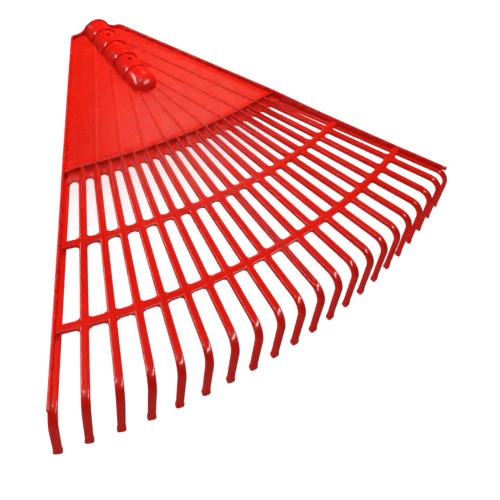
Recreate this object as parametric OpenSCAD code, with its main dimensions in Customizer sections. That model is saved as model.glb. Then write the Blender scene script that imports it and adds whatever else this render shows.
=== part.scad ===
// Head of a fan-shaped leaf rake: one plastic moulding, drawn as its named regions.
// X runs across the fan, Y runs along the handle with the tines towards -Y, Z is up.
// The origin is the centre of the handle socket's mouth. The tops of the tines lie in the plane Z = 0.

/* [Fan] */
// Angle between neighbouring tines
tine_pitch = 2.92; // [2.4:0.02:3]
// Distance from the socket mouth back to the point where the lines of the tines meet
apex_back = 42; // [34:1:52]
// Height of the tine tops above the ground that the tips stand on
tip_drop = 60; // [48:1:72]
// Distance from the apex to the tip of the middle tine
tip_reach = 476; // [456:1:500]
// Radius of the arc that the tips lie on
tip_arc_r = 830; // [690:5:1000]

/* [Tines] */
// Width of a tine
tine_w = 7.2; // [6:0.1:8.6]
// Depth of a tine
tine_d = 5.6; // [4.7:0.1:6.8]
// Radius of the bend on its upper face
bend_r = 20; // [16:1:24]
// Angle that the bend turns through
bend_angle = 80; // [70:1:90]
// Length of the thickened foot at the tip
foot_l = 6; // [5:0.5:8]
// Extra thickness of the foot on every side
foot_lip = 0.7; // [0.5:0.1:1.2]
// Width of the stiffening fin at the root of each tine
fin_w = 2.2; // [1.8:0.1:2.8]
// Length of the stiffening fin
fin_l = 44; // [37:1:52]
// Diameter of the ejector mark past the end of the fin
mark_d = 3; // [2.4:0.1:3.6]

/* [Crossbars] */
// Distance from the apex to the near edge of the inner crossbar
inner_bar_at = 324; // [318:1:350]
// Width of the inner crossbar
inner_bar_w = 7.4; // [6:0.1:9]
// Radius of the inner crossbar's near edge
inner_bar_r = 641; // [540:1:770]
// Distance from the apex to the near edge of the outer crossbar
outer_bar_at = 400; // [380:1:412]
// Width of the outer crossbar
outer_bar_w = 8; // [6.5:0.1:9.6]
// Radius of the outer crossbar's near edge
outer_bar_r = 692; // [580:1:830]

/* [Panel] */
// Distance from the apex to the front edge of the panel
panel_reach = 244; // [230:1:256]
// Radius of the panel's front edge
panel_edge_r = 740; // [620:5:890]
// Thickness of the panel
panel_t = 2.6; // [2.2:0.1:3.2]
// Height of the panel's top face above the tine tops
panel_rise = 3.2; // [2.6:0.1:3.8]
// Thickness of the wall under the panel's front edge
front_wall_t = 2.2; // [1.8:0.1:2.6]
// Height of the lip along the panel's front edge
lip_h = 0.6; // [0.5:0.1:0.8]
// Width of the floor between the front wall and the ends of the slots, at the middle
apron_w = 10; // [8.5:0.5:12]
// Depth of that floor below the tine tops
apron_sink = 2.4; // [2:0.1:2.8]
// Height of the ribs on the panel
rib_h = 1.1; // [0.9:0.1:1.4]
// Width of a panel rib at its back end
rib_w_back = 3.4; // [2.8:0.1:4]
// Width of a panel rib at the front edge
rib_w_front = 4.8; // [4:0.1:5.6]
// Width of the raised spine along the middle tine
spine_w = 2.4; // [2:0.1:2.8]
// Height of the spine
spine_h = 1; // [0.8:0.1:1.2]

/* [Rails] */
// Thickness of the upright walls: the rails, the back wall and the flange
wall_t = 2.6; // [2.2:0.1:3.1]
// Height of the rail wall above the tine tops, beside the panel
rail_top = 4.4; // [3.8:0.1:5.2]
// Height of the panel's edge beside the rails
margin_rise = 0.2; // [0.1:0.1:0.3]
// Distance that an outer tine lies below the other tines
rail_sink = 4.5; // [3.8:0.1:5.3]
// Depth of an outer tine
rail_tine_d = 5; // [4.2:0.1:6]
// Width of an outer tine with its wall
rail_w = 7.4; // [6.2:0.1:8.8]
// Angle between an outer tine and the line of the fan
rail_toe_in = 0.83; // [0.7:0.01:0.99]
// Offset of the rail's outer face from the apex
rail_offset = 8.9; // [7.5:0.1:10.6]
// Width of the sloping margin between the panel and a rail, measured from the rail's outer face
margin_w = 14.4; // [12:0.1:17]
// Distance from the apex to the front end of the rail wall
rail_reach = 486; // [464:1:488]

/* [Socket] */
// Diameter of the bore that takes the handle
bore_d = 28.4; // [24:0.1:31]
// Depth of the bore, up to its round end
bore_l = 109; // [104:1:115]
// Wall of the socket at the thin end of each stage
socket_wall = 2; // [1.8:0.1:2.4]
// Growth of each stage from its thin end to its thick end
stage_flare = 0.9; // [0.7:0.1:1.1]
// Length of the first stage, from the mouth
first_stage_l = 21; // [18:1:25]
// Length of the other stages
stage_l = 25; // [22:0.5:27]
// Diameter of the two holes for the fixing screws
screw_d = 4.5; // [3.8:0.1:5.4]
// Distance of the first screw hole from the mouth
screw_at = 32; // [28:1:38]
// Distance between the screw holes
screw_pitch = 50; // [42:1:52]
// Width of the flange round the mouth, past the socket
flange_w = 1.4; // [1.2:0.1:1.7]
// Radius of the corners where the back wall meets the rails
corner_r = 8; // [7:0.5:9.5]

/* [Hidden] */
$fn = 96;
tine_count = 21;
middle_tine = (tine_count + 1) / 2;
rib_count = 9;
middle_rib = (rib_count + 1) / 2;
stage_count = 4;
// Angle between each rib and the middle one, from the middle outwards
rib_leans = [0, 10.5, 20.4, 24.6, 27.2];
plastic = [0.88, 0.1, 0.05];

// Fan angle of the outer tines, and the true direction of the rails
half_fan = tine_pitch * (tine_count - 1) / 2;
rail_angle = half_fan - rail_toe_in;

// Heights of the panel, the tines and the margins
panel_under = panel_rise - panel_t;
tine_under = -tine_d;
rail_base = -rail_sink;
margin_under = margin_rise - panel_t;

// Heights of the rail wall past the panel, where it runs down to the tines
rail_low = 1.8;
rail_end = 0.2;
rail_run = 60;
end_run = 60;

// Small raised marks on the tines
mark_h = 0.5;
fin_end_h = 0.3;

// Sizes of the socket
bore_r = bore_d / 2;
stage_r = bore_r + socket_wall;
nose_r = stage_r + stage_flare;
nose_at = first_stage_l + (stage_count - 1) * stage_l;

// A length past every edge, for cuts that go right through
past = 60;
// Step from the bend of a tine in to its slimmer leg
leg_inset = 0.1;

// Direction of a tine from the middle of the fan, positive towards +X
function tine_angle(k) = (k - middle_tine) * tine_pitch;

// Distance from the apex, at an angle, to the arc of radius r that crosses the middle at reach
function arc_distance(angle, reach, r) =
    let (back = r - reach, along = back * cos(angle))
    along * -1 + sqrt(along * along - back * back + r * r);

// How far the bend and the leg carry a tine's outer face past the start of its bend
function bend_overhang(drop) =
    bend_r * sin(bend_angle) + (drop - bend_r * (1 - cos(bend_angle))) / tan(bend_angle);

// Where a tine starts to bend, measured from the apex
function bend_start(angle, drop) = arc_distance(angle, tip_reach, tip_arc_r) - bend_overhang(drop);

// A point of the plan in a rail's own terms: x along its outer face, y outwards
function rail_point(side, x, y) = [
    side * (rail_offset * cos(half_fan) + x * sin(rail_angle) + y * cos(rail_angle)),
    apex_back + rail_offset * sin(half_fan) - x * cos(rail_angle) + y * sin(rail_angle)
];

// Where the rounded back corner is centred: along the rail, and in the plan
corner_along = (apex_back + rail_offset * sin(half_fan) + corner_r * (1 - sin(rail_angle))) / cos(rail_angle);
corner_x = rail_point(1, corner_along, -corner_r)[0];

// Places children on the line of a fan angle, with +X away from the apex
module along(angle) {
    translate([0, apex_back, 0]) rotate([0, 0, angle - 90]) children();
}

// Places children on a rail, with +X along its outer face and +Y outwards
module on_rail(side) {
    mirror([side < 0 ? 1 : 0, 0, 0])
        translate([0, apex_back, 0])
            rotate([0, 0, half_fan - 90])
                translate([0, rail_offset, 0])
                    rotate([0, 0, -rail_toe_in])
                        children();
}

// A disc whose edge is the arc of radius r that crosses the middle of the fan at reach
module arc_disc(reach, r, z0, z1) {
    translate([0, apex_back - reach + r, z0]) cylinder(r = r, h = z1 - z0, $fn = 720);
}

// The space between the rails, inset from their outer faces
module between_rails(inset, z0, z1) {
    far = rail_reach + past;
    translate([0, 0, z0]) linear_extrude(z1 - z0)
        polygon([
            rail_point(-1, 0.9 * apex_back, -inset), rail_point(-1, far, -inset),
            rail_point(1, far, -inset), rail_point(1, 0.9 * apex_back, -inset)
        ]);
}

// Everything behind the back wall's inner face, and outside the inner face of its corners
module back_cut() {
    translate([-2 * past, -wall_t, -past]) cube([4 * past, 2 * past, 2 * past]);
    for (side = [0, 1])
        mirror([side, 0, 0]) difference() {
            translate([corner_x, -corner_r, -past]) linear_extrude(2 * past)
                polygon([
                    [0, 0], [past * cos(rail_angle), past * sin(rail_angle)], [past, past], [0, past]
                ]);
            translate([corner_x, -corner_r, -past]) cylinder(r = corner_r - wall_t, h = 2 * past);
        }
}

// A bar of rectangular section along +X
module strip(x0, x1, w, z0, z1) {
    translate([x0, -w / 2, z0]) cube([x1 - x0, w, z1 - z0]);
}

// A tine of width w and depth d: straight from x0 to x1, then the bend, the leg and the foot
module tine_solid(x0, x1, w, d, top, drop) {
    leg = (drop - bend_r * (1 - cos(bend_angle))) / sin(bend_angle);
    translate([x1, 0, top]) {
        strip(x0 - x1, 0, w, -d, 0);
        translate([0, 0, -bend_r]) rotate([90, 0, 0]) {
            rotate([0, 0, 90]) mirror([0, 1, 0])
                rotate_extrude(angle = bend_angle)
                    translate([bend_r - d, -w / 2]) square([d, w]);
            rotate([0, 0, -bend_angle]) translate([0, bend_r, 0]) {
                translate([-1, leg_inset - d, leg_inset - w / 2])
                    cube([leg + 1, d - 2 * leg_inset, w - 2 * leg_inset]);
                translate([leg - foot_l, -d - foot_lip, -w / 2 - foot_lip])
                    cube([foot_l, d + foot_lip, w + 2 * foot_lip]);
            }
        }
    }
}

// Everything below the ground that the tips stand on
module ground() {
    half = rail_reach + past;
    translate([-half, -2 * half, -tip_drop - past]) cube([2 * half, 3 * half, past]);
}

// The fin that leans against the front wall, and the round ejector mark past it
module root_fin(angle) {
    root = arc_distance(angle, panel_reach, panel_edge_r) - front_wall_t;
    end = root + fin_l;
    translate([0, fin_w / 2, 0]) rotate([90, 0, 0]) linear_extrude(fin_w)
        polygon([[root, -mark_h], [end, -mark_h], [end, fin_end_h], [root, panel_rise]]);
    translate([end + mark_d, 0, -mark_h]) cylinder(d = mark_d, h = 2 * mark_h);
}

// One of the tines between the two outer ones
module inner_tine(k) {
    angle = tine_angle(k);
    start = bend_start(angle, tip_drop);
    color(plastic) difference() {
        along(angle) {
            tine_solid(panel_reach - past, start, tine_w, tine_d, 0, tip_drop);
            if (k != middle_tine) root_fin(angle);
        }
        arc_disc(panel_reach, panel_edge_r, tine_under - 1, panel_rise + 1);
        ground();
    }
}

// An outer tine, which also carries the rail wall
module outer_tine(side) {
    drop = tip_drop + rail_base;
    start = bend_start(half_fan, drop);
    color(plastic) difference() {
        on_rail(side) translate([0, -rail_w / 2, 0])
            tine_solid(panel_reach - past, start, rail_w, rail_tine_d, rail_base, drop);
        arc_disc(panel_reach, panel_edge_r, -past, past);
        ground();
    }
}

// The upright wall of a rail, which gets lower past the panel
module rail_wall(side) {
    panel_end = arc_distance(half_fan, panel_reach, panel_edge_r);
    color(plastic) on_rail(side) rotate([90, 0, 0]) linear_extrude(wall_t)
        polygon([
            [corner_along, rail_base], [rail_reach, rail_base], [rail_reach, rail_end],
            [rail_reach - end_run, rail_end], [panel_end + rail_run, rail_low],
            [panel_end, rail_top], [corner_along, rail_top]
        ]);
}

// The sloping margin between the panel and a rail
module margin(side) {
    color(plastic) difference() {
        intersection() {
            on_rail(side) rotate([90, 0, 90]) linear_extrude(rail_reach)
                polygon([
                    [-wall_t, margin_rise], [-wall_t, margin_under],
                    [-margin_w, panel_under], [-margin_w, panel_rise]
                ]);
            arc_disc(panel_reach - front_wall_t, panel_edge_r - front_wall_t, -past, past);
        }
        back_cut();
        socket_solid();
    }
}

// The smooth panel between the margins
module web_panel() {
    color(plastic) difference() {
        intersection() {
            between_rails(margin_w, panel_under, panel_rise);
            arc_disc(panel_reach - front_wall_t, panel_edge_r - front_wall_t, -past, past);
        }
        back_cut();
        socket_solid();
    }
}

// The wall that the panel and its margins end in, with a small lip above them
module panel_front_wall() {
    color(plastic) difference() {
        intersection() {
            arc_disc(panel_reach, panel_edge_r, tine_under, panel_rise + lip_h);
            between_rails(wall_t, -past, past);
        }
        arc_disc(panel_reach - front_wall_t, panel_edge_r - front_wall_t, -past, past);
        for (side = [-1, 1])
            on_rail(side) rotate([90, 0, 90]) linear_extrude(rail_reach)
                polygon([
                    [-margin_w, panel_rise + lip_h], [-wall_t, margin_rise + lip_h],
                    [past, margin_rise + lip_h], [past, past], [-margin_w, past]
                ]);
    }
}

// One rib on the panel, from the socket to the front wall
module panel_rib(k) {
    lean = rib_leans[abs(k - middle_rib)] * sign(k - middle_rib);
    angle = tine_angle(2 * k + 1);
    front = arc_distance(angle, panel_reach, panel_edge_r);
    length = lean == 0 ? front - apex_back - nose_at : abs(front * sin(angle) / sin(lean));
    color(plastic) difference() {
        intersection() {
            translate([front * sin(angle), apex_back - front * cos(angle), panel_rise])
                rotate([0, 0, lean]) linear_extrude(rib_h)
                    polygon([
                        [-rib_w_front / 2, -front_wall_t], [rib_w_front / 2, -front_wall_t],
                        [rib_w_front / 2, 0], [rib_w_back / 2, length],
                        [-rib_w_back / 2, length], [-rib_w_front / 2, 0]
                    ]);
            arc_disc(panel_reach - front_wall_t, panel_edge_r - front_wall_t, -past, past);
        }
        back_cut();
        socket_solid();
    }
}

// The raised line along the middle tine
module centre_spine() {
    root = arc_distance(0, panel_reach, panel_edge_r);
    color(plastic) along(0) strip(root, bend_start(0, tip_drop), spine_w, 0, spine_h);
}

// The inner tines as plain bars, to cut what lies between them
module tine_bars() {
    for (k = [2 : tine_count - 1])
        along(tine_angle(k)) strip(panel_reach - past, rail_reach + past, tine_w, -past, past);
}

// The floor between the front wall and the slots, with the round ends of the slots
module slot_apron() {
    slot_reach = panel_reach + apron_w;
    color(plastic) difference() {
        intersection() {
            arc_disc(slot_reach + tine_w / 2, panel_edge_r + tine_w / 2, tine_under, -apron_sink);
            between_rails(rail_w, -past, past);
        }
        arc_disc(panel_reach, panel_edge_r, -past, past);
        tine_bars();
        for (k = [1 : tine_count - 1]) {
            angle = tine_angle(k + 0.5);
            end = arc_distance(angle, slot_reach, panel_edge_r);
            slot_r = end * sin(tine_pitch / 2) - tine_w / 2;
            along(angle) translate([end + slot_r, 0, -past]) cylinder(r = slot_r, h = 2 * past);
        }
    }
}

// A crossbar: the pieces of an arc between the tines, level with their tops
module crossbar(at, w, r) {
    color(plastic) difference() {
        intersection() {
            arc_disc(at + w, r + w, -rail_sink, 0);
            between_rails(wall_t, -past, past);
        }
        arc_disc(at, r, -past, past);
        tine_bars();
    }
}

// The back wall, with its rounded corners and the flange round the socket
module back_wall() {
    wall_h = rail_top - rail_base;
    color(plastic) difference() {
        union() {
            for (side = [0, 1])
                mirror([side, 0, 0]) {
                    translate([0, -wall_t, rail_base]) cube([corner_x, wall_t, wall_h]);
                    translate([corner_x, -corner_r, rail_base])
                        rotate([0, 0, 90]) mirror([0, 1, 0])
                            rotate_extrude(angle = 90 - rail_angle)
                                translate([corner_r - wall_t, 0]) square([wall_t, wall_h]);
                }
            rotate([90, 0, 0]) cylinder(r = stage_r + stage_flare + flange_w, h = wall_t);
        }
        socket_solid();
    }
}

// The outside of the socket without its nose: four stages that each widen towards the front
module stages() {
    for (i = [0 : stage_count - 1]) {
        from = i == 0 ? 0 : first_stage_l + (i - 1) * stage_l;
        to = first_stage_l + i * stage_l;
        rotate([90, 0, 0]) translate([0, 0, from]) cylinder(r1 = stage_r, r2 = nose_r, h = to - from);
    }
}

// The outside of the socket's closed end
module nose_solid() {
    rotate([90, 0, 0]) translate([0, 0, nose_at]) cylinder(r = nose_r, h = bore_l - nose_at);
    translate([0, -bore_l, 0]) sphere(r = nose_r);
}

// The whole outside of the socket
module socket_solid() {
    stages();
    nose_solid();
}

// The bore that the handle is pushed into
module bore() {
    rotate([90, 0, 0]) translate([0, 0, -1]) cylinder(r = bore_r, h = bore_l + 1);
}

// The socket up to its nose, with two holes for screws into the handle
module handle_socket() {
    color(plastic) difference() {
        stages();
        bore();
        for (i = [0, 1])
            translate([0, -screw_at - i * screw_pitch, 0]) cylinder(d = screw_d, h = past);
    }
}

// The closed round end of the socket
module socket_nose() {
    color(plastic) difference() {
        nose_solid();
        bore();
        translate([-past, -nose_at, -past]) cube([2 * past, past, 2 * past]);
    }
}

web_panel();
panel_front_wall();
slot_apron();
centre_spine();
margin(-1);  // left_margin
margin(1);  // right_margin
rail_wall(-1);  // left_rail_wall
rail_wall(1);  // right_rail_wall
back_wall();
handle_socket();
socket_nose();
crossbar(inner_bar_at, inner_bar_w, inner_bar_r);  // inner_crossbar
crossbar(outer_bar_at, outer_bar_w, outer_bar_r);  // outer_crossbar
panel_rib(1);  // panel_rib_1
panel_rib(2);  // panel_rib_2
panel_rib(3);  // panel_rib_3
panel_rib(4);  // panel_rib_4
panel_rib(5);  // panel_rib_5
panel_rib(6);  // panel_rib_6
panel_rib(7);  // panel_rib_7
panel_rib(8);  // panel_rib_8
panel_rib(9);  // panel_rib_9
outer_tine(-1);  // tine_01
inner_tine(2);  // tine_02
inner_tine(3);  // tine_03
inner_tine(4);  // tine_04
inner_tine(5);  // tine_05
inner_tine(6);  // tine_06
inner_tine(7);  // tine_07
inner_tine(8);  // tine_08
inner_tine(9);  // tine_09
inner_tine(10);  // tine_10
inner_tine(11);  // tine_11
inner_tine(12);  // tine_12
inner_tine(13);  // tine_13
inner_tine(14);  // tine_14
inner_tine(15);  // tine_15
inner_tine(16);  // tine_16
inner_tine(17);  // tine_17
inner_tine(18);  // tine_18
inner_tine(19);  // tine_19
inner_tine(20);  // tine_20
outer_tine(1);  // tine_21
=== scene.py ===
"""Head of a fan-shaped leaf rake, moulded in glossy red plastic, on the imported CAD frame."""
import math

import bmesh
import bpy
from mathutils import Matrix, Vector


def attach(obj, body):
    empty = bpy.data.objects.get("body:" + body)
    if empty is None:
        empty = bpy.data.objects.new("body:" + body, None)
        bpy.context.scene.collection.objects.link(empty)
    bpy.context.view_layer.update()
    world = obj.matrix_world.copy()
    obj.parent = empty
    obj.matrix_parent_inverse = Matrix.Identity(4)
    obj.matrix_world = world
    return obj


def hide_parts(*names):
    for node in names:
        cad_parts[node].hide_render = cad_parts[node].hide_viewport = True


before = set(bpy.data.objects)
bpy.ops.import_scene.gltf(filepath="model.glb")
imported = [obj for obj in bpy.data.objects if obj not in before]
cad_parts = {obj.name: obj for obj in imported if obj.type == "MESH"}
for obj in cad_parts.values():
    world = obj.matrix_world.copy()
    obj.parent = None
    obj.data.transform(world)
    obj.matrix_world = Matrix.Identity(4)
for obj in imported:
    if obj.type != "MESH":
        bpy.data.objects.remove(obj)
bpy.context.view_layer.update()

# ---------------------------------------------------------------- sizes, in millimetres and degrees

MM = 0.001
TINES = 21
MIDDLE = (TINES + 1) // 2
PITCH = 2.92
HALF_FAN = PITCH * (TINES - 1) / 2
APEX_BACK = 42
TIP_DROP = 60
TIP_REACH, TIP_ARC = 476, 830
TINE_W, TINE_D = 7.2, 5.6
BEND_R, BEND_ANGLE, BEND_STEPS = 20, 80, 14
FOOT_L = 6
FIN_W, FIN_L, FIN_END = 2.2, 44, 0.3
MARK_R, MARK_H = 1.5, 0.5
BARS = {"inner_crossbar": (324, 7.4, 641), "outer_crossbar": (400, 8, 692)}
BAR_D, BAR_STEPS = 4.5, 120
SLOT_FILLET, FILLET_STEPS = 2.6, 6
PANEL_REACH, PANEL_ARC = 244, 740
PANEL_T, PANEL_RISE = 2.6, 3.2
LIP_H, WALL_BACK = 0.6, 2.2
APRON_W, APRON_SINK = 10, 2.4
EDGE_ROUND = 0.5
RIB_H, RIB_BACK, RIB_FRONT = 1.1, 3.4, 4.8
RIB_LEANS = [0, 10.5, 20.4, 24.6, 27.2]
SPINE_W, SPINE_H = 2.4, 1
RIM_T, RIM_TOP = 2.6, 4.4
SINK = 4.5
RAIL_W, RAIL_D = 7.4, 5
TOE_IN, RAIL_OFFSET, RAIL_REACH = 0.83, 8.9, 486
MARGIN_W, MARGIN_RISE = 14.4, 0.2
RAIL_ANGLE = HALF_FAN - TOE_IN
BORE_R, BORE_L = 14.2, 109
STAGE_R, NOSE_R = 16.2, 17.1
STAGE_ENDS = [0, 21, 46, 71, 96]
SCREW_R, SCREWS = 2.25, (32, 82)
CORNER_R = 8
HUMP_W, HUMP_H = 26, 11.8


def sin(degrees):
    return math.sin(math.radians(degrees))


def cos(degrees):
    return math.cos(math.radians(degrees))


def fan_angle(k):
    """Direction of tine k, counted from 1 at the -X side."""
    return (k - MIDDLE) * PITCH


def arc_distance(angle, reach, r):
    """Distance from the apex, at an angle, to the arc of radius r that crosses the middle at reach."""
    back = r - reach
    return -back * cos(angle) + math.sqrt(r * r - (back * sin(angle)) ** 2)


def fan_point(angle, r, z=0.0, side=0.0):
    """A point r out along a fan direction and side across it, towards +X."""
    return Vector((r * sin(angle) + side * cos(angle), APEX_BACK - r * cos(angle) + side * sin(angle), z))


def rail_point(side, s, n, z=0.0):
    """A point s along a rail's outer face and n outwards from it, on side -1 or 1."""
    x = RAIL_OFFSET * cos(HALF_FAN) + s * sin(RAIL_ANGLE) + n * cos(RAIL_ANGLE)
    y = APEX_BACK + RAIL_OFFSET * sin(HALF_FAN) - s * cos(RAIL_ANGLE) + n * sin(RAIL_ANGLE)
    return Vector((side * x, y, z))


# ---------------------------------------------------------------- material

def plastic(name, colour, roughness, flow=0.35, peel=0.012):
    """Glossy coloured polypropylene: flow marks in the colour, orange peel, fine scuffs in the gloss."""
    material = bpy.data.materials.new(name)
    material.use_nodes = True
    nodes, links = material.node_tree.nodes, material.node_tree.links
    shader = nodes["Principled BSDF"]
    shader.inputs["IOR"].default_value = 1.49
    shader.inputs["Specular IOR Level"].default_value = 0.5
    shader.inputs["Subsurface Weight"].default_value = 0.06
    shader.inputs["Subsurface Radius"].default_value = (0.004, 0.0012, 0.0008)
    shader.inputs["Coat Weight"].default_value = 0.08
    shader.inputs["Coat Roughness"].default_value = 0.1
    place = nodes.new("ShaderNodeTexCoord")

    def texture(kind, scale, detail):
        node = nodes.new(kind)
        node.inputs["Scale"].default_value = scale
        node.inputs["Detail"].default_value = detail
        links.new(place.outputs["Object"], node.inputs["Vector"])
        return node

    def mapped(source, low, high):
        node = nodes.new("ShaderNodeMapRange")
        node.inputs["From Min"].default_value = 0.3
        node.inputs["From Max"].default_value = 0.7
        node.inputs["To Min"].default_value = low
        node.inputs["To Max"].default_value = high
        links.new(source, node.inputs["Value"])
        return node.outputs["Result"]

    clouds = texture("ShaderNodeTexNoise", 9, 3)
    clouds.inputs["Distortion"].default_value = 1.6
    mix = nodes.new("ShaderNodeMix")
    mix.data_type = "RGBA"
    mix.inputs[6].default_value = (*[c * (1 - flow * 0.35) for c in colour], 1)
    mix.inputs[7].default_value = (min(colour[0] * 1.06, 1), colour[1] * 1.25, colour[2] * 1.2, 1)
    links.new(mapped(clouds.outputs["Fac"], 0.15, 0.85), mix.inputs[0])
    links.new(mix.outputs[2], shader.inputs["Base Color"])

    scuffs = texture("ShaderNodeTexNoise", 90, 2)
    links.new(mapped(scuffs.outputs["Fac"], roughness * 0.8, roughness * 1.25), shader.inputs["Roughness"])

    skin = texture("ShaderNodeTexNoise", 120, 1)
    sink = texture("ShaderNodeTexNoise", 26, 2)
    total = nodes.new("ShaderNodeMath")
    total.operation = "MULTIPLY_ADD"
    total.inputs[1].default_value = 2
    links.new(sink.outputs["Fac"], total.inputs[0])
    links.new(skin.outputs["Fac"], total.inputs[2])
    bump = nodes.new("ShaderNodeBump")
    bump.inputs["Strength"].default_value = 0.07
    bump.inputs["Distance"].default_value = peel * 0.01
    links.new(total.outputs[0], bump.inputs["Height"])
    links.new(bump.outputs["Normal"], shader.inputs["Normal"])
    return material


RED_PANEL = plastic("red_plastic_panel", (0.74, 0.007, 0.0005), 0.27)
RED_TINE = plastic("red_plastic_tine", (0.7, 0.006, 0.001), 0.17)
RED_SOCKET = plastic("red_plastic_socket", (0.86, 0.006, 0.001), 0.2)
RED_RIM = plastic("red_plastic_rim", (0.74, 0.005, 0.001), 0.28)


# ---------------------------------------------------------------- mesh tools

def piece(name, points, faces, material, *nodes, sharp=40):
    """One visible piece, from points in millimetres, in place of the CAD nodes named."""
    mesh = bpy.data.meshes.new(name)
    mesh.from_pydata([Vector(p) * MM for p in points], [], faces)
    bm = bmesh.new()
    bm.from_mesh(mesh)
    bmesh.ops.remove_doubles(bm, verts=bm.verts, dist=1e-6)
    bmesh.ops.recalc_face_normals(bm, faces=bm.faces)
    bm.to_mesh(mesh)
    bm.free()
    mesh.materials.append(material)
    mesh.shade_smooth()
    mesh.set_sharp_from_angle(angle=math.radians(sharp))
    obj = bpy.data.objects.new(name, mesh)
    bpy.context.scene.collection.objects.link(obj)
    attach(obj, "root")
    if nodes:
        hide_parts(*nodes)
    return obj


class Solid:
    """Points and faces gathered from several lofts."""

    def __init__(self):
        self.points = []
        self.faces = []

    def loft(self, rings, caps=True):
        first, size = len(self.points), len(rings[0])
        for ring in rings:
            self.points.extend(ring)
        for i in range(len(rings) - 1):
            for j in range(size):
                a, b = first + i * size + j, first + i * size + (j + 1) % size
                self.faces.append((a, b, b + size, a + size))
        if caps:
            self.faces.append(tuple(range(first, first + size)))
            last = first + (len(rings) - 1) * size
            self.faces.append(tuple(range(last + size - 1, last - 1, -1)))

    def sheet(self, rows):
        first, size = len(self.points), len(rows[0])
        for row in rows:
            self.points.extend(row)
        for i in range(len(rows) - 1):
            for j in range(size - 1):
                a = first + i * size + j
                self.faces.append((a, a + 1, a + 1 + size, a + size))


def bar_section(w, d, power=3.6, draft=0.08, count=32):
    """A rounded, slightly drafted bar's outline: across, and height against its upper face."""
    outline = []
    for i in range(count):
        angle = 360 * (i + 0.5) / count
        c, s = cos(angle), sin(angle)
        across = math.copysign(abs(c) ** (2 / power), c) * w / 2
        height = math.copysign(abs(s) ** (2 / power), s) * d / 2 - d / 2
        outline.append((across * (1 + draft * height / d), height))
    return outline


def revolve(profile, count=96):
    """Rings of a profile of (distance along -Y, radius) turned about the socket's axis."""
    return [[Vector((r * cos(360 * i / count), -at, r * sin(360 * i / count))) for i in range(count)]
            for at, r in profile]


# ---------------------------------------------------------------- tines

def side_path(root, start, top, drop):
    """Stations down a tine: distance, height and slope of its upper face, and the size of its section."""
    stations = [(root, top, 0, 1), (start, top, 0, 1)]
    for i in range(1, BEND_STEPS + 1):
        turn = BEND_ANGLE * i / BEND_STEPS
        stations.append((start + BEND_R * sin(turn), top - BEND_R * (1 - cos(turn)), turn, 1))
    s, z = stations[-1][:2]
    leg = (drop - BEND_R * (1 - cos(BEND_ANGLE))) / sin(BEND_ANGLE)
    for along, size in ((leg - FOOT_L - 4, 0.95), (leg - FOOT_L, 1.0), (leg - FOOT_L + 2.5, 1.1),
                        (leg - 1.8, 1.13), (leg - 0.8, 1.06), (leg - 0.25, 0.93), (leg, 0.75)):
        stations.append((s + along * cos(BEND_ANGLE), z - along * sin(BEND_ANGLE), BEND_ANGLE, size))
    return stations


def tine_rings(place, root, start, top, drop, w, d):
    """Rings of a whole tine; place(s, side, z) puts a point of it into the frame."""
    middle = -d / 2
    rings = []
    for s, z, slope, size in side_path(root, start, top, drop):
        ring = []
        for across, height in bar_section(w, d):
            height = middle + (height - middle) * size
            ring.append(place(s + height * sin(slope), across * size, z + height * cos(slope)))
        rings.append(ring)
    return rings


def bend_start(angle, drop):
    """Distance from the apex at which the tine at an angle bends down, so that its tip ends on the arc."""
    leg_drop = drop - BEND_R * (1 - cos(BEND_ANGLE))
    bend_reach = BEND_R * sin(BEND_ANGLE) + leg_drop / math.tan(math.radians(BEND_ANGLE))
    return arc_distance(angle, TIP_REACH, TIP_ARC) - bend_reach


def ridge(solid, place, stations, bottom=-0.8, edge=0.7):
    """A thin raised line with a rounded top: stations of distance, top height and width."""
    rings = []
    for s, top, w in stations:
        ring = [place(s, -w / 2, bottom)]
        for turn in (180, 150, 120, 90, 60, 30, 0):
            ring.append(place(s, cos(turn) * w / 2, top - edge * (1 - sin(turn))))
        ring.append(place(s, w / 2, bottom))
        rings.append(ring)
    solid.loft(rings)


def inner_tine(k):
    """Tine k with its root fin and ejector mark, which the middle tine lacks."""
    angle = fan_angle(k)

    def place(s, side, z):
        return fan_point(angle, s, z, side)

    root = arc_distance(angle, PANEL_REACH, PANEL_ARC)
    solid = Solid()
    solid.loft(tine_rings(place, root - 1, bend_start(angle, TIP_DROP), 0, TIP_DROP, TINE_W, TINE_D))
    if k != MIDDLE:
        end = root + FIN_L
        fin = [(root - 1, PANEL_RISE - 0.1, FIN_W), (root + FIN_L * 0.5, PANEL_RISE * 0.5, FIN_W),
               (end - 2, FIN_END + 0.1, FIN_W), (end, FIN_END - 0.2, FIN_W * 0.8)]
        ridge(solid, place, fin)
        rings = []
        for r, z in ((MARK_R, -0.4), (MARK_R, MARK_H * 0.6), (MARK_R * 0.75, MARK_H), (MARK_R * 0.1, MARK_H)):
            rings.append([place(end + 3 + r * cos(30 * i), r * sin(30 * i), z) for i in range(12)])
        solid.loft(rings)
    name = f"tine_{k:02d}"
    piece(f"moulded_{name}", solid.points, solid.faces, RED_TINE, name)


def outer_tine(side, k):
    """Tine k on side -1 or 1, which lies lower and runs along under a rail."""
    def place(s, across, z):
        return rail_point(side, s, across - RAIL_W / 2, z)

    drop = TIP_DROP - SINK
    root = arc_distance(HALF_FAN, PANEL_REACH, PANEL_ARC)
    solid = Solid()
    solid.loft(tine_rings(place, root - 3, bend_start(HALF_FAN, drop), -SINK, drop, RAIL_W, RAIL_D))
    name = f"tine_{k:02d}"
    piece(f"moulded_{name}", solid.points, solid.faces, RED_TINE, name)


for k in range(2, TINES):
    inner_tine(k)
outer_tine(-1, 1)
outer_tine(1, TINES)

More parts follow.
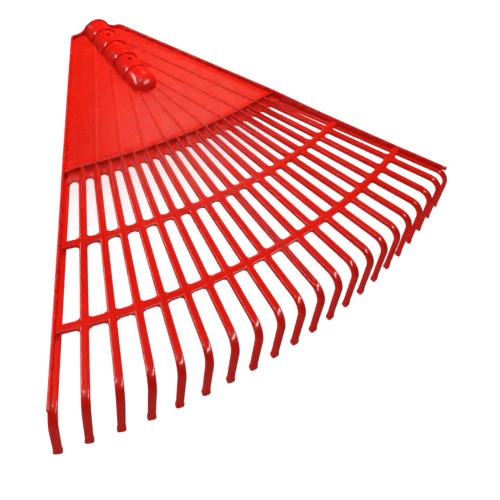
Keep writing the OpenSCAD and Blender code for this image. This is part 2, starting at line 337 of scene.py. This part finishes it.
spine = Solid()
spine_end = bend_start(0, TIP_DROP)
ridge(spine, lambda s, side, z: fan_point(0, s, z, side),
      [(PANEL_REACH, SPINE_H, SPINE_W), (spine_end - 2, SPINE_H, SPINE_W), (spine_end, 0.1, SPINE_W * 0.8)])
piece("moulded_spine", spine.points, spine.faces, RED_TINE, "centre_spine")


# ---------------------------------------------------------------- crossbars and slots

def slot_fillets(solid, k, reach, r, outward, low, high):
    """The rounded inner corners where an edge of a bar meets both sides of tine k."""
    angle = fan_angle(k)
    for side in (-1, 1):
        if (k == 1 and side < 0) or (k == TINES and side > 0):
            continue
        beside = angle + side * math.degrees(TINE_W * 0.47 / reach)
        at = arc_distance(beside, reach, r)
        ahead = beside + side * 0.3
        corner = fan_point(beside, at)
        along_bar = (fan_point(ahead, arc_distance(ahead, reach, r)) - corner).normalized()
        along_tine = Vector((sin(angle), -cos(angle), 0)) * outward
        outline = [corner - along_bar - along_tine]
        for i in range(FILLET_STEPS + 1):
            t = i / FILLET_STEPS
            down_tine, down_bar = SLOT_FILLET * (1 - t) ** 2, SLOT_FILLET * t ** 2
            outline.append(corner + along_tine * down_tine + along_bar * down_bar)
        solid.loft([[Vector((p.x, p.y, z)) for p in outline] for z in (low, high)])


def crossbar(name, reach, w, r):
    """A curved bar across all the tines, with its slot corners rounded."""
    solid = Solid()
    rings = []
    edge = HALF_FAN - 0.15
    for i in range(BAR_STEPS + 1):
        angle = -edge + 2 * edge * i / BAR_STEPS
        near = fan_point(angle, arc_distance(angle, reach, r))
        far = fan_point(angle, arc_distance(angle, reach + w, r + w))
        middle, out = (near + far) / 2, (far - near).normalized()
        rings.append([middle + out * across + Vector((0, 0, height - 0.1))
                      for across, height in bar_section(w, BAR_D, power=3.6)])
    solid.loft(rings)
    for k in range(2, TINES):
        slot_fillets(solid, k, reach, r, -1, -BAR_D + 0.4, -0.7)
        slot_fillets(solid, k, reach + w, r + w, 1, -BAR_D + 0.4, -0.7)
    piece(f"moulded_{name}", solid.points, solid.faces, RED_TINE, name, sharp=50)


for bar, (bar_reach, bar_w, bar_r) in BARS.items():
    crossbar(bar, bar_reach, bar_w, bar_r)


def slot_apron():
    """The recessed floor between the front wall and the slots, with the slots' round ends."""
    solid = Solid()
    end_reach, end_r = PANEL_REACH + APRON_W, PANEL_ARC
    for k in range(1, TINES):
        middle = fan_angle(k + 0.5)
        slot_end = arc_distance(middle, end_reach, end_r)
        half = slot_end * math.radians(PITCH) / 2
        gap_r = half - TINE_W / 2 + 0.3
        back, front = [], []
        for i in range(17):
            across = -1 + i / 8
            shift = across * (half - 0.3)
            turn = max(-1, min(1, shift / gap_r))
            back_at = arc_distance(middle + math.degrees(shift / slot_end), PANEL_REACH, PANEL_ARC) - 1
            front_at = slot_end + gap_r * (1 - math.sqrt(1 - turn * turn))
            back.append((back_at, shift * back_at / slot_end))
            front.append((front_at, shift))
        rings = []
        for height in (-APRON_SINK, -TINE_D):
            ring = [fan_point(middle, s, height, side) for s, side in back]
            ring += [fan_point(middle, s, height, side) for s, side in reversed(front)]
            rings.append(ring)
        rounded = [p + Vector((0, 0, -EDGE_ROUND)) for p in rings[0]]
        outwards = Vector((sin(middle), -cos(middle), 0))
        inset = rings[0][:len(back)] + [p - outwards * EDGE_ROUND for p in rings[0][len(back):]]
        solid.loft([inset, rounded, rings[1]])
    piece("moulded_apron", solid.points, solid.faces, RED_PANEL, "slot_apron", sharp=60)


slot_apron()


# ---------------------------------------------------------------- panel, margins and front wall

def profile_height(n):
    """Height of the top face n inwards from a rail's outer face, with its corners rounded."""
    total = 0
    for i in range(-4, 5):
        m = n + i * 0.3
        total += MARGIN_RISE + (PANEL_RISE - MARGIN_RISE) * max(0, min(1, (m - RIM_T) / (MARGIN_W - RIM_T)))
    return total / 9


def web():
    """The panel, its two sloping margins and the front wall with its lip, as one sheet with a thickness."""
    columns = [RIM_T - 0.6, 3.2, 4, 5, 6.5, 8, 9.5, 11, 12.4, 13.4, 14, 14.4, 14.8, 15.4, 16.4]
    across = 40
    rows = []
    row_count = 48
    inner = -RIM_T + 0.4

    def front_y(x):
        r = PANEL_ARC - WALL_BACK
        return APEX_BACK - PANEL_REACH + PANEL_ARC - math.sqrt(r * r - x * x)

    def rail_x(n, y):
        s = (APEX_BACK + RAIL_OFFSET * sin(HALF_FAN) - n * sin(RAIL_ANGLE) - y) / cos(RAIL_ANGLE)
        return RAIL_OFFSET * cos(HALF_FAN) + s * sin(RAIL_ANGLE) - n * cos(RAIL_ANGLE)

    def row(v, forward=0.0, level=0.0):
        """One row of points: v from the back wall to the front wall, then forward of it."""
        def y_at(x):
            return inner + (front_y(x) - inner) * v - forward

        half = []
        for n in columns:
            x = 60.0
            for _ in range(12):
                x = rail_x(n, y_at(x))
            half.append((x, profile_height(n)))
        edge = half[-1][0]
        line = [(-x, z) for x, z in half]
        line += [(-edge + 2 * edge * i / across, PANEL_RISE) for i in range(1, across)]
        line += [(x, z) for x, z in reversed(half)]
        points = []
        for x, z in line:
            low = -TINE_D + 0.3
            points.append(Vector((x, y_at(abs(x)), max(low, z + level))))
        return points

    for i in range(row_count + 1):
        rows.append(row(i / row_count))
    for forward, level in ((0.3, LIP_H * 0.5), (0.6, LIP_H * 0.9), (1.1, LIP_H), (1.6, LIP_H * 0.9),
                           (2.0, LIP_H * 0.3), (2.2, -LIP_H * 0.6), (2.2, -2.5), (2.2, -5), (2.2, -9)):
        rows.append(row(1, forward, level))
    solid = Solid()
    solid.sheet(rows)
    obj = piece("moulded_web", solid.points, solid.faces, RED_PANEL,
                "web_panel", "left_margin", "right_margin", "panel_front_wall", sharp=70)
    bm = bmesh.new()
    bm.from_mesh(obj.data)
    bm.faces.ensure_lookup_table()
    if bm.faces[len(bm.faces) // 3].normal.z < 0:
        bmesh.ops.reverse_faces(bm, faces=bm.faces)
    bm.to_mesh(obj.data)
    bm.free()
    thick = obj.modifiers.new("thickness", "SOLIDIFY")
    thick.thickness = (PANEL_T - 0.3) * MM
    thick.offset = -1
    return obj


web()


def panel_rib(k):
    """One raised rib, which starts inside the socket or the rim and ends in the front lip."""
    lean = RIB_LEANS[abs(k - 5)] * (1 if k > 5 else -1)
    angle = fan_angle(2 * k + 1)
    front = arc_distance(angle, PANEL_REACH, PANEL_ARC)
    end = fan_point(angle, front)
    length = front - APEX_BACK - BORE_L if lean == 0 else abs(front * sin(angle) / sin(lean)) - 3
    length = min(length, (-end.y - RIM_T) / cos(lean))

    def place(s, side, z):
        return Vector((end.x - s * sin(lean) + side * cos(lean), end.y + s * cos(lean) + side * sin(lean), z))

    solid = Solid()
    high = PANEL_RISE + RIB_H
    slim = RIB_FRONT + (RIB_BACK - RIB_FRONT) * 0.5
    ridge(solid, place, [(1.2, high, RIB_FRONT), (length * 0.5, high, slim), (length, high, RIB_BACK)],
          bottom=PANEL_RISE - 0.5, edge=0.3)
    piece(f"moulded_rib_{k}", solid.points, solid.faces, RED_PANEL, f"panel_rib_{k}")


for k in range(1, 10):
    panel_rib(k)


# ---------------------------------------------------------------- rim: both rails and the back wall

def rim():
    """The upright wall all round the back: rail, corner, back wall with its hump, corner, rail."""
    back = APEX_BACK + RAIL_OFFSET * sin(HALF_FAN) + CORNER_R * (1 - sin(RAIL_ANGLE))
    corner_s = back / cos(RAIL_ANGLE)
    panel_end = arc_distance(HALF_FAN, PANEL_REACH, PANEL_ARC)
    heights = [(corner_s, RIM_TOP), (panel_end, RIM_TOP), (panel_end + 60, 1.8),
               (RAIL_REACH - 60, 0.2), (RAIL_REACH, 0.2)]
    half = []
    for i in range(len(heights) - 1):
        (s0, z0), (s1, z1) = heights[i], heights[i + 1]
        for j in range(8 if i else 16):
            t = j / (8 if i else 16)
            half.append((rail_point(1, s0 + (s1 - s0) * t, 0), RAIL_ANGLE, z0 + (z1 - z0) * t))
    half.append((rail_point(1, RAIL_REACH - 0.6, 0), RAIL_ANGLE, 0.1))
    half.append((rail_point(1, RAIL_REACH, 0), RAIL_ANGLE, -0.6))
    centre = rail_point(1, corner_s, -CORNER_R)
    corner = []
    for i in range(1, 13):
        turn = RAIL_ANGLE + (90 - RAIL_ANGLE) * i / 12
        corner.append((centre + Vector((cos(turn), sin(turn), 0)) * CORNER_R, turn, RIM_TOP))
    wall = []
    for i in range(1, 41):
        x = centre.x * (1 - i / 40)
        hump = HUMP_H * cos(90 * min(1, x / HUMP_W)) ** 2
        wall.append((Vector((x, 0, 0)), 90, RIM_TOP + hump))
    path = list(reversed(half)) + corner + wall
    mirrored = [(Vector((-p.x, p.y, 0)), 180 - turn, z) for p, turn, z in reversed(path[:-1])]
    rings = []
    for p, turn, top in path + mirrored:
        out = Vector((cos(turn), sin(turn), 0))
        ring = [p - out * (RIM_T - 0.15) + Vector((0, 0, -SINK)), p - out * RIM_T + Vector((0, 0, -2))]
        for bend in (180, 150, 120, 90, 60, 30, 0):
            ring.append(p + out * ((cos(bend) - 1) * RIM_T / 2) + Vector((0, 0, top - 1.0 * (1 - sin(bend)))))
        ring.append(p + Vector((0, 0, -SINK + 0.6)))
        ring.append(p - out * 0.5 + Vector((0, 0, -SINK)))
        rings.append(ring)
    solid = Solid()
    solid.loft(rings)
    piece("moulded_rim", solid.points, solid.faces, RED_RIM, "left_rail_wall", "right_rail_wall", "back_wall",
          sharp=55)


rim()


# ---------------------------------------------------------------- socket

def socket():
    """The ringed tube and its round nose, hollow, with two screw holes through its top."""
    outside = [(0.0, BORE_R + 0.6), (0.0, STAGE_R + 1.1), (0.5, STAGE_R + 1.8), (2.2, STAGE_R + 1.8),
               (2.8, STAGE_R + 1.0), (3.2, STAGE_R + 0.2)]
    for start, end in zip(STAGE_ENDS[:-1], STAGE_ENDS[1:]):
        first = 4.5 if start == 0 else start + 2.4
        outside += [(first, STAGE_R + 0.1), (end - 5, NOSE_R),
                    (end - 1.4, NOSE_R + 0.4), (end - 0.5, NOSE_R + 0.2), (end, NOSE_R - 0.6),
                    (end + 0.1, STAGE_R - 0.5), (end + 0.8, STAGE_R - 0.5)]
    end = STAGE_ENDS[-1]
    outside += [(end + 1.0, STAGE_R + 0.2), (end + 1.8, NOSE_R - 0.4), (end + 4, NOSE_R), (BORE_L, NOSE_R)]
    nose = NOSE_R
    for i in range(1, 16):
        turn = 90 * i / 15
        outside.append((BORE_L + nose * sin(turn), max(nose * cos(turn), 0.05)))
    inside = [(BORE_L, 0.05), (BORE_L, BORE_R - 0.8), (BORE_L - 0.8, BORE_R), (0.6, BORE_R)]
    solid = Solid()
    solid.loft(revolve(outside + inside + [outside[0]]), caps=False)
    obj = piece("moulded_socket", solid.points, solid.faces, RED_SOCKET,
                "handle_socket", "socket_nose", sharp=35)
    cutter_mesh = bpy.data.meshes.new("screw_cutter")
    bm = bmesh.new()
    for at in SCREWS:
        bmesh.ops.create_cone(bm, cap_ends=True, segments=32, radius1=SCREW_R * MM, radius2=SCREW_R * MM,
                              depth=20 * MM, matrix=Matrix.Translation(Vector((0, -at, 16)) * MM))
    bm.to_mesh(cutter_mesh)
    bm.free()
    cutter = bpy.data.objects.new("screw_cutter", cutter_mesh)
    bpy.context.scene.collection.objects.link(cutter)
    cut = obj.modifiers.new("screw_holes", "BOOLEAN")
    cut.operation = "DIFFERENCE"
    cut.solver = "EXACT"
    cut.object = cutter
    bpy.context.view_layer.update()
    made = bpy.data.meshes.new_from_object(obj.evaluated_get(bpy.context.evaluated_depsgraph_get()))
    obj.modifiers.clear()
    obj.data = made
    bpy.data.objects.remove(cutter)


socket()


# ---------------------------------------------------------------- floor, lights, camera

# The head stands on the socket's mouth and the tips, so the floor slopes against the plane of the tines.
TOUCH_BACK = Vector((0, 0, -18.5)) * MM
TOUCH_TIPS = Vector((0, -434, -60)) * MM
FLOOR_TILT = math.atan2(TOUCH_BACK.z - TOUCH_TIPS.z, TOUCH_BACK.y - TOUCH_TIPS.y)

FLOOR_HALF, FLOOR_GLOW, WORLD_LIGHT = 4, 0.75, 0.06
floor_mesh = bpy.data.meshes.new("floor")
floor_mesh.from_pydata([(-FLOOR_HALF, -FLOOR_HALF, 0), (FLOOR_HALF, -FLOOR_HALF, 0),
                        (FLOOR_HALF, FLOOR_HALF, 0), (-FLOOR_HALF, FLOOR_HALF, 0)], [], [(0, 1, 2, 3)])
floor = bpy.data.objects.new("floor", floor_mesh)
floor.location = TOUCH_TIPS
floor.rotation_euler = (FLOOR_TILT, 0, 0)
bpy.context.scene.collection.objects.link(floor)
paper = bpy.data.materials.new("floor_paper")
paper.use_nodes = True
paper_shader = paper.node_tree.nodes["Principled BSDF"]
paper_shader.inputs["Base Color"].default_value = (0.5, 0.5, 0.5, 1)
paper_shader.inputs["Roughness"].default_value = 0.9
paper_shader.inputs["Emission Color"].default_value = (1, 1, 1, 1)
paper_shader.inputs["Emission Strength"].default_value = FLOOR_GLOW
floor.visible_glossy = False
floor_mesh.materials.append(paper)

# A pale wall round the floor, which only the camera sees.
BACKDROP_R, BACKDROP_H, BACKDROP_SIDES = 3.8, 3.5, 64
backdrop_mesh = bpy.data.meshes.new("backdrop")
backdrop_ring = [(BACKDROP_R * cos(360 * i / BACKDROP_SIDES), BACKDROP_R * sin(360 * i / BACKDROP_SIDES))
                 for i in range(BACKDROP_SIDES)]
backdrop_mesh.from_pydata(
    [(x, y, z) for z in (0, BACKDROP_H) for x, y in backdrop_ring], [],
    [(i, (i + 1) % BACKDROP_SIDES, BACKDROP_SIDES + (i + 1) % BACKDROP_SIDES, BACKDROP_SIDES + i)
     for i in range(BACKDROP_SIDES)])
backdrop_mesh.materials.append(paper)
backdrop = bpy.data.objects.new("backdrop", backdrop_mesh)
backdrop.location = TOUCH_TIPS
backdrop.rotation_euler = (FLOOR_TILT, 0, 0)
backdrop.visible_glossy = backdrop.visible_diffuse = backdrop.visible_shadow = False
bpy.context.scene.collection.objects.link(backdrop)

world = bpy.data.worlds.new("studio")
bpy.context.scene.world = world
world.use_nodes = True
world.node_tree.nodes["Background"].inputs["Color"].default_value = (1, 1, 1, 1)
world.node_tree.nodes["Background"].inputs["Strength"].default_value = WORLD_LIGHT
bpy.context.scene.view_settings.view_transform = "Standard"

AIM = Vector((0, -0.24, 0))


def softbox(name, at, size, power, mirrored, tint=(1, 1, 1)):
    """A rectangular lamp aimed at the fan, which is either mirrored in the gloss or lights the colour."""
    lamp = bpy.data.lights.new(name, "AREA")
    lamp.shape = "RECTANGLE"
    lamp.size, lamp.size_y = size
    lamp.energy = power
    lamp.color = tint
    obj = bpy.data.objects.new(name, lamp)
    obj.location = at
    obj.rotation_euler = (AIM - Vector(at)).to_track_quat("-Z", "Y").to_euler()
    obj.visible_glossy = mirrored
    obj.visible_diffuse = not mirrored
    bpy.context.scene.collection.objects.link(obj)


softbox("key", (0.7, 0.7, 1.2), (0.5, 0.5), 25, False)
softbox("top", (-0.45, -0.35, 1.6), (1.2, 1.2), 16, False)
softbox("catch", (-0.7, -0.5, 1.5), (0.3, 0.3), 4, True)
softbox("flank", (-1.0, 0.35, 0.85), (1.5, 0.18), 17, True)
softbox("front", (0.35, -1.0, 1.0), (1.2, 0.14), 12, True)
softbox("sheen", (0.95, 0.75, 1.05), (0.7, 0.6), 1.0, True, (1, 0.8, 0.5))

CAMERA_AT = Vector((-0.2501, -0.5054, 0.3835))
HEADING, PITCH_DOWN, ROLL = 48.505, 50.449, 14.99
look = Vector((sin(HEADING) * cos(PITCH_DOWN), cos(HEADING) * cos(PITCH_DOWN), -sin(PITCH_DOWN)))
lens = bpy.data.cameras.new("camera")
lens.lens, lens.sensor_width = 36.62, 36
lens.shift_x, lens.shift_y = 0.0415, -0.0992
camera = bpy.data.objects.new("camera", lens)
turned = look.to_track_quat("-Z", "Y").to_matrix() @ Matrix.Rotation(math.radians(ROLL), 3, "Z")
camera.matrix_world = Matrix.Translation(CAMERA_AT) @ turned.to_4x4()
bpy.context.scene.collection.objects.link(camera)
bpy.context.scene.camera = camera
